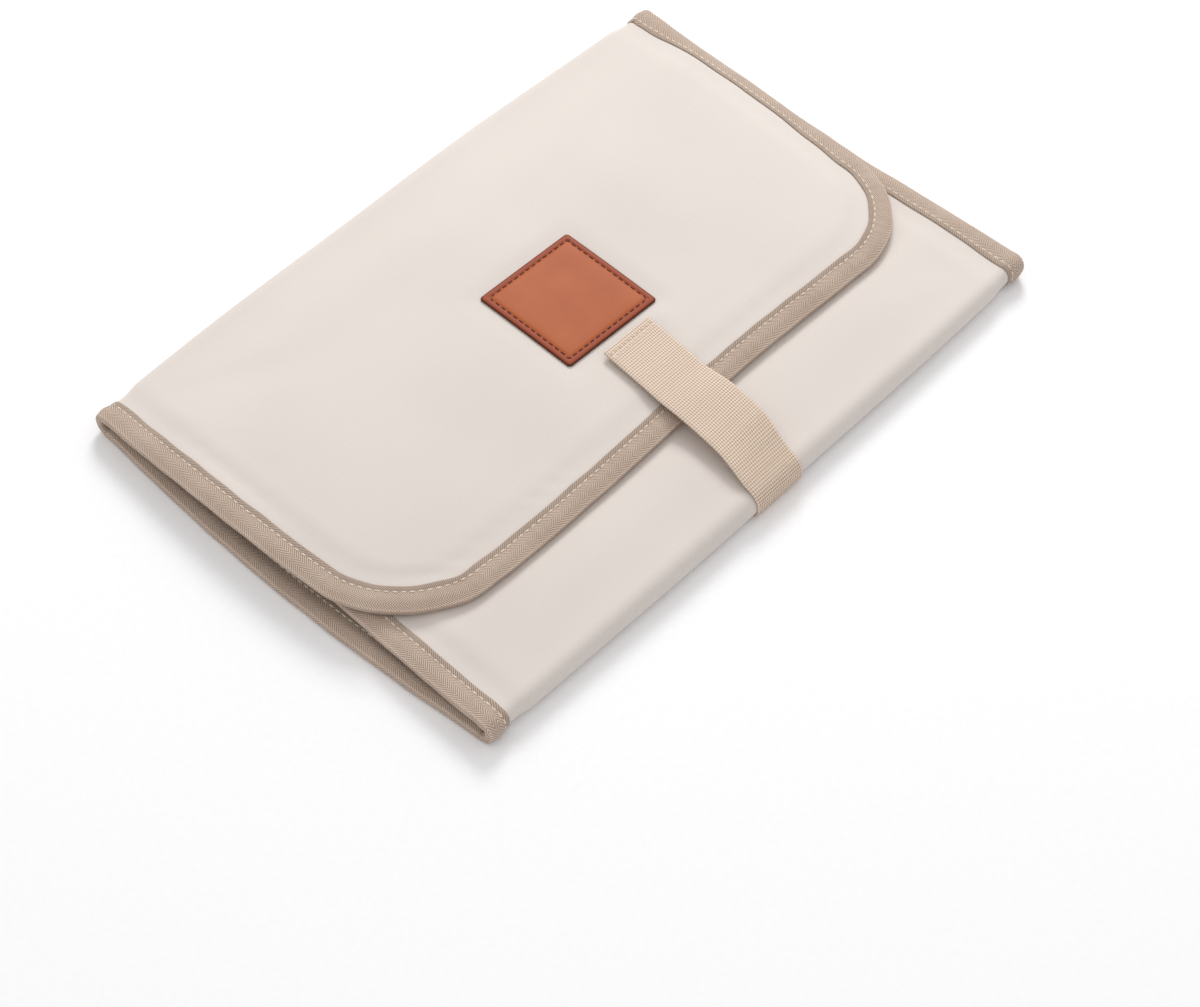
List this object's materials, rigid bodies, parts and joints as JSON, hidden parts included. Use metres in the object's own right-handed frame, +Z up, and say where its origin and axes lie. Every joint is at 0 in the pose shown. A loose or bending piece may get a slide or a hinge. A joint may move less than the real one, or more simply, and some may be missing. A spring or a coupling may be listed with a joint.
{
  "type": "folding baby changing mat",
  "caption": "Padded travel changing mat folded in three, with bound edges, a rounded flap, a webbing closing strap and a square leather label.",
  "frame": {"origin": "on the table plane under the middle of the folded mat", "axes": "+X along the folds, +Y towards the back fold that the flap hangs from, +Z up; the strap closes round the -Y fold"},
  "size_m": [0.408, 0.2678, 0.0263],
  "materials": {
    "cover_cloth": "smooth coated cream cloth, matt",
    "foam_wadding": "soft closed foam sheet",
    "wipe_lining": "wipe-clean coated inner cloth, slight sheen",
    "binding_tape": "taupe herringbone twill tape",
    "strap_webbing": "beige webbing with ribs across its width",
    "hook_loop": "hook and loop fastening tape",
    "label_leather": "tan leather, pressed edge, satin"
  },
  "bodies": {
    "base": {"base_cover": "cover_cloth", "base_foam": "foam_wadding", "base_lining": "wipe_lining", "base_binding_left": "binding_tape", "base_binding_right": "binding_tape", "strap_anchor": "strap_webbing"},
    "back_roll": {"back_fold_cover": "cover_cloth", "back_fold_lining": "wipe_lining", "back_fold_binding_left": "binding_tape", "back_fold_binding_right": "binding_tape"},
    "flap": {"flap_cover": "cover_cloth", "flap_foam": "foam_wadding", "flap_lining": "wipe_lining", "flap_binding": "binding_tape", "leather_label": "label_leather", "loop_patch": "hook_loop"},
    "front_roll": {"front_fold_cover": "cover_cloth", "front_fold_lining": "wipe_lining", "front_fold_binding_left": "binding_tape", "front_fold_binding_right": "binding_tape", "strap_wrap": "strap_webbing"},
    "front_panel": {"front_cover": "cover_cloth", "front_foam": "foam_wadding", "front_lining": "wipe_lining", "front_binding": "binding_tape"},
    "strap": {"strap_top": "strap_webbing", "hook_patch": "hook_loop"}
  },
  "joints": [
    {"name": "back_fold_turn", "type": "hinge", "parent": "base", "child": "back_roll", "pos_m": [0, 0.13, 0.003], "axis": [-1, 0, 0], "range_deg": [0, 90]},
    {"name": "flap_turn", "type": "hinge", "parent": "back_roll", "child": "flap", "pos_m": [0, 0.13, 0.011], "axis": [-1, 0, 0], "range_deg": [0, 87.5]},
    {"name": "front_fold_turn", "type": "hinge", "parent": "base", "child": "front_roll", "pos_m": [0, -0.13, 0.003], "axis": [1, 0, 0], "range_deg": [0, 90]},
    {"name": "front_panel_turn", "type": "hinge", "parent": "front_roll", "child": "front_panel", "pos_m": [0, -0.13, 0.011], "axis": [1, 0, 0], "range_deg": [0, 90]},
    {"name": "strap_peel", "type": "hinge", "parent": "front_panel", "child": "strap", "pos_m": [0, -0.1266, 0.0178], "axis": [1, 0, 0], "range_deg": [0, 170]}
  ],
  "couplings": [
    {"joint": "flap_turn", "follows": "back_fold_turn", "ratio": 0.9667},
    {"joint": "front_fold_turn", "follows": "back_fold_turn", "ratio": 1},
    {"joint": "front_panel_turn", "follows": "back_fold_turn", "ratio": 1}
  ]
}
